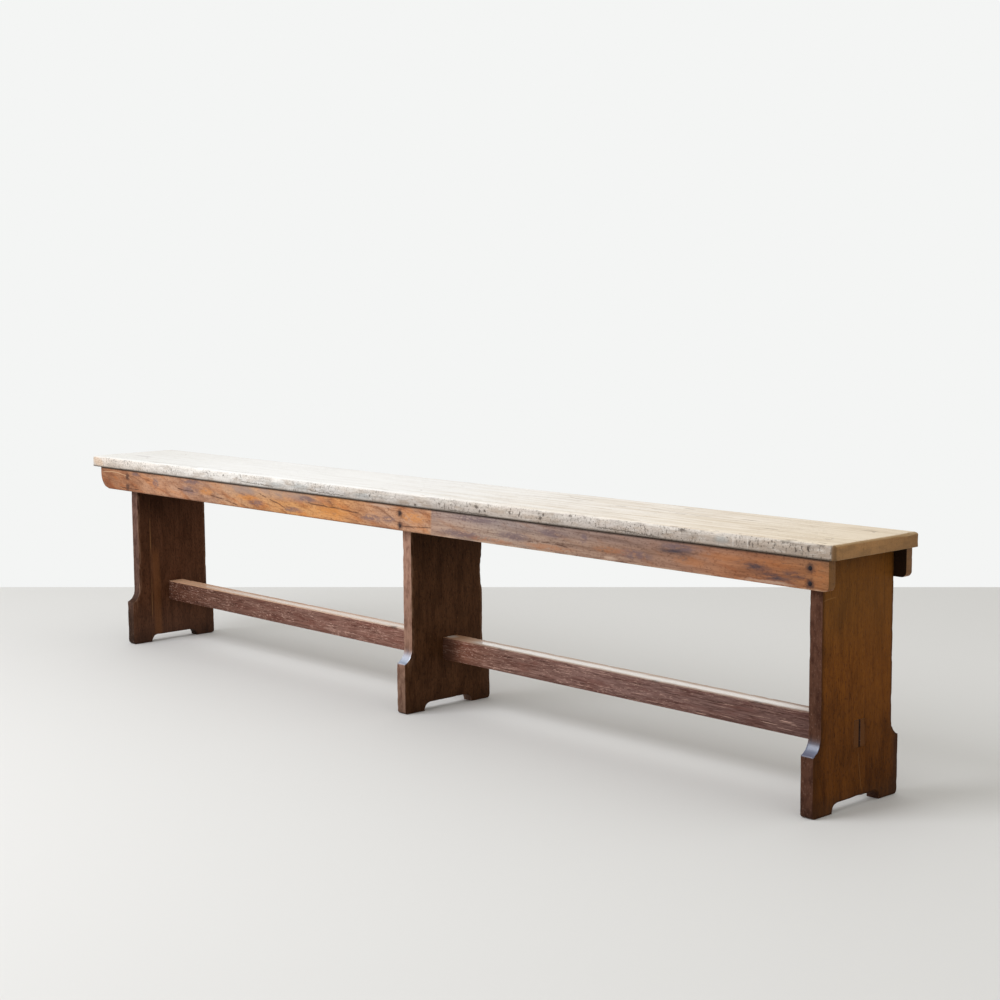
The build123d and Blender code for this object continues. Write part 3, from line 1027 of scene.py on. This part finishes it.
def stained_leg():
    """Board stained to walnut and varnished: dark, fine upright grain, rubbed at its edges.

    Mopping has dulled and greyed the feet, and the sawn edges took the stain more purple. The
    varnish still shines where it lies thick, in the hollows of the shoulders; there a bluish-white
    painted reflection is laid on the middle and right legs, and painted shade darkens the left
    leg's hollow. Painted shade also darkens the tops of the legs under the seat.
    """
    material, place = start_material("walnut_stained_board", 0.55, 0.04, {
        "Coat Roughness": 0.3, "Coat IOR": 2.2,
    })
    left_x, middle_x, right_x = leg_places.values()
    inner = right_x - leg_thickness
    at_right = between(place, X, inner - 0.1, inner)
    at_left = between(place, X, left_x + 0.2, left_x + 0.1)
    # Tones per leg: the right leg's face is lighter and warmer, and the middle leg's front edges
    # are lighter. This is partly the stain's own colour and partly painted light, for the stronger
    # light that falls on them.
    stops = (left_x + 0.1, middle_x - 0.1, middle_x + 0.1, inner)
    face_tones = ("#5C3A27", "#553722", "#553722", "#754413")
    edge_tones = ("#6B4F44", "#A27D6A", "#A27D6A", "#5C3D2F")
    face = tones_along(place, list(zip(stops, face_tones)))
    edge = tones_along(place, list(zip(stops, edge_tones)))
    grained = wandering(place, (150, 150, 300), (0, 8, 0))
    rings = growth_rings(grained, (0, 40, 1.5), (60, 40, 200), 2.5, 0.3)
    fibres = patches(grained, (50, 2.8, 24), 0.4, 0.75, 3)
    streaks = patches(grained, (50, 10, 120), 0.42, 0.72, 4)
    glow = patches(grained, (50, 30, 140), 0.45, 0.75, 3, shift=6)
    gloom = patches(place, (50, 28, 70), 0.42, 0.7, 4, shift=9)
    pores = patches(grained, (50, 3, 7), 0.5, 0.68, 3, shift=3)
    scuffs = patches(place, (50, 2.4, 8), 0.7, 0.75, shift=8)
    foot = between(place, Z, 0.22, 0.08)
    toe = between(place, Z, 0.045, 0)
    mopped = between(place, Z, 0.12, 0.03)
    before = between(place, Y, 0.04, -0.04)
    # Painted shade: the upper parts of the left and middle legs are darkened under the seat, more
    # at the front of the left leg.
    head_shade = product(between(place, Z, 0.25, 0.38), inverse(at_right))
    light, joint, streak, ray = leg_marks(place, at_right, at_left)
    tenon = spot(
        place, (right_x + leg_thickness / 2, 6 * mm, 0.122), (0.01, 17 * mm, 27 * mm), core=0.8
    )
    face = stain(face, [
        (streaks, 0.38, "#AE9A8C"), (gloom, 0.55, "#A69A8A"), (rings, 0.12, "#A8907E"),
        (fibres, 0.45, "#A08A7A"), (pores, 0.55, "#8A7466"), ((foot, at_right), 0.52, "#A2987F"),
        (toe, 0.6, "#A8A29C"), (head_shade, 0.55, "#A59A94"),
        # Painted shade: the right leg's top, darkened under the end of the seat.
        ((between(place, Z, 0.385, 0.424), at_right), 0.5, "#8C8074"),
        ((head_shade, at_left, before), 0.45, "#8A8A90"), (tenon, 0.2, "#A8A08C"),
        (joint, 0.6, "#8A7A6C"),
    ])
    face = lay_coats(face, [
        ((glow, at_right), 0.2, "#8E5624"),
        ((between(place, Z, 0.22, 0.36), at_right), 0.3, "#6C4D25"),
        ((at_right, inverse(either(before, foot))), 0.2, "#84501E"),
        ((mopped, at_left), 0.1, "#4A4A48"), ((toe, at_right), 0.14, "#4C4238"),
        (streak, 0.28, "#8A5730"), ((ray, gloom), 0.4, "#A5764C"), (scuffs, 0.35, "#8C6A44"),
        (light, 0.3, "#9A6E42"),
    ])
    flecks = patches(place, (3, 3, 5), 0.54, 0.78, 4)
    mottle = patches(place, (9, 9, 20), 0.38, 0.72, 5, shift=2)
    side_fibres = patches(place, (2.6, 50, 50), 0.45, 0.75, 3)
    shin = between(place, Z, 0.13, 0.06)
    edge = stain(edge, [
        (mottle, 0.75, "#9C8680"), (side_fibres, 0.35, "#A08A84"),
        (between(place, Z, 0.3, 0.2), 0.38, "#B0ACA8"),
        ((shin, inverse(at_right)), 0.4, "#9CA69C"),
        ((shin, at_left), 0.8, "#A89A80"), (toe, 0.45, "#9A948E"),
    ])
    edge = lay_coats(edge, [(flecks, 0.22, "#B59482")])
    wear = wear_at(place)
    rubbed = product(wear, patches(place, (6, 6, 30), 0.4, 0.62), inverse(at_right), inverse(shin))
    colour = lay_coats(face, [
        (facing(place, Y), 1, edge),
        (rubbed, 0.35, "#A5826A"),
        ((wear, facing(place, X, 0.35, 0.6), at_right), 0.6, "#2A180E"),
    ])
    hollow = product(
        between(place, Z, foot_height - 3 * mm, foot_height + 1 * mm),
        between(place, Z, 0.138, 0.11), inverse(facing(place, X, 0.3, 0.6)),
    )
    # Painted reflection: where the hollows of the middle and right legs face up, they are painted
    # bluish white for the daylight their varnish reflects. The left leg's hollow is painted dark,
    # as painted shade.
    polish_and_painted_sheen = product(hollow, between(normal_at(place), Z, 0, 0.55), inverse(at_left))
    colour = lay_coats(colour, [
        ((polish_and_painted_sheen, inverse(at_right)), 0.6, "#B4C6DE"),
        ((polish_and_painted_sheen, at_right), 0.55, "#607592"), ((hollow, at_left), 0.5, "#241811"),
    ])
    dull = passing(at_right, 0, 1, high=0.6)
    coat = product(hollow, inverse(at_left), inverse(dull))
    drive(material, "Coat Weight", coat)
    return finish_material(material, colour, [(fibres, 0.4), (pores, 0.5), (joint, 0.8)], 0.3 * mm)


def varnished_rail():
    """Stretcher of the same softwood with more varnish left: reddish, with pale pores and scuffs.

    Feet have rubbed the top bare and smooth, so its varnish coat throws back the light of the
    room; a pale strip painted along the top adds a painted reflection of that light.
    """
    material, place = start_material("varnished_rail_wood", 0.5, 0.06, {
        "Coat Roughness": 0.12, "Coat IOR": 3.4,
    })
    leg_face = legs_high["middle_leg"].x
    front_y = rail_low.y
    front = tones_along(place, [
        (-0.95, "#59382A"), (-0.6, "#755448"), (-0.3, "#89665A"), (-0.05, "#896154"),
        (0.1, "#7C513F"), (0.25, "#7D5E53"), (0.5, "#7F6159"), (0.75, "#755A53"),
        (1.06, "#694E47"),
    ])
    long_fibres = patches(place, (100, 2.4, 2.4), 0.42, 0.74, 3)
    fibres = patches(place, (30, 2, 2), 0.42, 0.7, 3, shift=6)
    red = patches(place, (90, 20, 12), 0.45, 0.7, 4)
    flecks = patches(place, (9, 3, 1.8), 0.56, 0.68, 3, shift=5)
    scratches = patches(place, (60, 3, 1.6), 0.62, 0.68, shift=2)
    groups = patches(place, (80, 30, 12), 0.3, 0.62, 3, shift=1)
    flecks = product(flecks, groups, between(place, X, 1.4, -0.1))
    pale = either(flecks, product(scratches, groups))
    dark = patches(place, (50, 3, 2.4), 0.58, 0.68, shift=12)
    shade = between(place, Z, rail_low.z + 12 * mm, rail_low.z + 2 * mm)
    lower_arris = between(place, Z, rail_low.z + 2.5 * mm, rail_low.z)
    # Painted shade: the front is darkened just right of the middle leg, in the leg's shade.
    shade_by_leg = within(place, X, (leg_face - 1 * mm, leg_face), (leg_face + 0.02, leg_face + 0.07))
    front = stain(front, [
        (red, 0.5, "#D09A8C"), (long_fibres, 0.55, "#A08880"), (fibres, 0.6, "#988078"),
        (dark, 0.65, "#8A7672"), (shade, 0.3, "#B0A4A0"),
    ])
    front = lay_coats(front, [
        (pale, 0.75, "#C8A290"), (shade_by_leg, 0.72, "#28180F"), (lower_arris, 0.35, "#A0705A"),
    ])
    # The top's tones are partly rubbed wood and partly painted reflection. Its pale stretches
    # between the legs stand in for the room's light, reflected at a low angle, and it is darker
    # next to the legs.
    top = tones_along(place, [
        (-0.95, "#D4A784"), (-0.55, "#CAA284"), (-0.3, "#DCB89D"), (0.05, "#E2CBB8"),
        (0.06, "#A06C40"), (0.18, "#CCB29C"), (0.85, "#CEB6A2"), (1.06, "#7A5C4C"),
    ])
    top = stain(top, [(long_fibres, 0.45, "#B09A8C"), (fibres, 0.3, "#B09A8C")])
    upward = between(normal_at(place), Z, 0.45, 0.85)
    from_left = between(place, X, -1.05, -0.4)
    near_middle = within(place, X, (leg_face, leg_face + 0.03), (leg_face + 0.07, leg_face + 0.11))
    right_rail = between(place, X, leg_face, leg_face + 1 * mm)
    left_rail = inverse(right_rail)
    loose = wandering(place, (60, 20, 20), (0, 10, 0))
    # Painted highlight: a strip along the front of the top, rubbed pale by feet, is painted near
    # white as a painted reflection of the room's light. It is kept off next to the middle leg,
    # where the leg would be reflected, and its coat gives a real shine too.
    rubbed_sheen_strip = within(
        loose, Y, (front_y + 1 * mm, front_y + 14 * mm), (front_y + 20 * mm, front_y + 34 * mm)
    )
    front_rim = between(loose, Y, front_y + 10 * mm, front_y + 3 * mm)
    polish_and_painted_sheen = product(
        upward, rubbed_sheen_strip, from_left, inverse(near_middle), between(place, X, 1.08, 0.9)
    )
    bruises = [
        spot(place, (x * mm, front_y, rail_high.z), (14 * mm, 12 * mm, 5 * mm))
        for x in (245, 655, 890, -90)
    ]
    end_grain = tones_along(place, [(-1, "#3E2718"), (1, "#5B3513")])
    colour = lay_coats(front, [
        (upward, 0.95, top), ((upward, front_rim, right_rail), 0.45, "#7C5C4C"),
        ((polish_and_painted_sheen, left_rail), 0.66, "#E6C9AE"), ((polish_and_painted_sheen, right_rail), 0.86, "#F1E5D8"),
        (either(*bruises), 0.7, "#4A332A"),
        (facing(place, X), 1, end_grain),
    ])
    drive(material, "Coat Weight", polish_and_painted_sheen)
    return finish_material(
        material, colour, [(long_fibres, 0.3), (fibres, 0.3), (pale, 0.3)], 0.3 * mm
    )


def wedge_wood():
    """Small hardwood wedge seen end on, blackened with stain and wax."""
    material, place = start_material("blackened_wedge_wood", 0.6, 0.1)
    fibres = patches(place, (1, 1, 12), 0.4, 0.7)
    colour = lay_coats(linear("#1B110B"), [(fibres, 0.4, "#2E1F15")])
    return finish_material(material, colour, [(fibres, 0.5)], 0.3 * mm)


def wrought_iron():
    """Hand-forged nail heads, blackened; those at the left end are stained over with the board."""
    material, place = start_material("blackened_wrought_iron", 0.6, 0.12)
    crust = patches(place, (3, 3, 3), 0.45, 0.65)
    iron = tones_along(place, [(-0.9, "#6A4A3A"), (0, "#40312C"), (1.1, "#241D21")])
    colour = lay_coats(iron, [(crust, 0.5, "#1E1818")])
    return finish_material(material, colour, [(crust, 0.5)], 0.3 * mm)


def floor_stone():
    """Plain pale floor."""
    return start_material("pale_floor", 0.7, 0.2, {"Base Color": linear("#DAD7D2")})[0]


pine = scrubbed_pine()
apron_wood = stained_apron()
leg_wood = stained_leg()
rail_wood = varnished_rail()
finish_piece(make_seat(), "seat_board", pine)
finish_piece(make_apron("front_rail", "front_apron"), "front_apron", apron_wood)
finish_piece(make_apron("back_rail", "back_apron"), "back_apron", apron_wood)
blank = make_leg_blank()
for node in leg_places:
    finish_piece(make_leg(blank, node), node, leg_wood)
bpy.data.objects.remove(blank)
finish_piece(make_rail(), "stretcher", rail_wood)

wedge = wedge_wood()
iron = wrought_iron()
for name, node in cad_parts.items():
    if name.endswith("wedge") or name.endswith("nails"):
        node.data.materials.clear()
        node.data.materials.append(wedge if name.endswith("wedge") else iron)


def set_camera():
    """Camera of the photograph."""
    camera = bpy.data.objects.new("camera", bpy.data.cameras.new("camera"))
    scene.collection.objects.link(camera)
    camera.data.lens = camera_lens
    turn = Matrix.Rotation(math.radians(camera_turn), 3, "Z")
    dip = Matrix.Rotation(math.radians(90 - camera_dip), 3, "X")
    roll = Matrix.Rotation(math.radians(camera_roll), 3, "Z")
    camera.rotation_euler = (turn @ dip @ roll).to_euler()
    camera.location = camera_place
    scene.camera = camera


def lay_floor():
    """Pale floor whose far edge is the horizon of the picture."""
    turn = Matrix.Rotation(math.radians(floor_turn), 3, "Z")
    bpy.ops.mesh.primitive_plane_add(
        size=floor_size, location=floor_edge_point - turn @ Vector((0, floor_size / 2, 0)),
        rotation=(0, 0, math.radians(floor_turn)),
    )
    floor = bpy.context.object
    floor.data.materials.append(floor_stone())


def light_room():
    """White room that is seen as white, yet lights the bench at a plain level, and the key."""
    world = bpy.data.worlds.new("world")
    world.use_nodes = True
    path = add_node("LightPath", {}, tree=world.node_tree).node
    seen = either(
        path.outputs["Is Camera Ray"], path.outputs["Is Glossy Ray"],
        path.outputs["Is Transmission Ray"],
    )
    level = add_node("MapRange", {0: seen, 3: room_light, 4: 1})
    world.node_tree.nodes["Background"].inputs["Color"].default_value = linear(room_colour)
    drive(world, "Strength", level, "Background")
    scene.world = world
    key = bpy.data.objects.new("key", bpy.data.lights.new("key", "AREA"))
    key.data.energy = key_power
    key.data.size = key_size
    key.data.color = linear(key_colour)[:3]
    key.location = key_place
    key.rotation_euler = (key_aim - key_place).to_track_quat("-Z", "Y").to_euler()
    scene.collection.objects.link(key)


set_camera()
lay_floor()
light_room()
scene.view_settings.view_transform = "Standard"
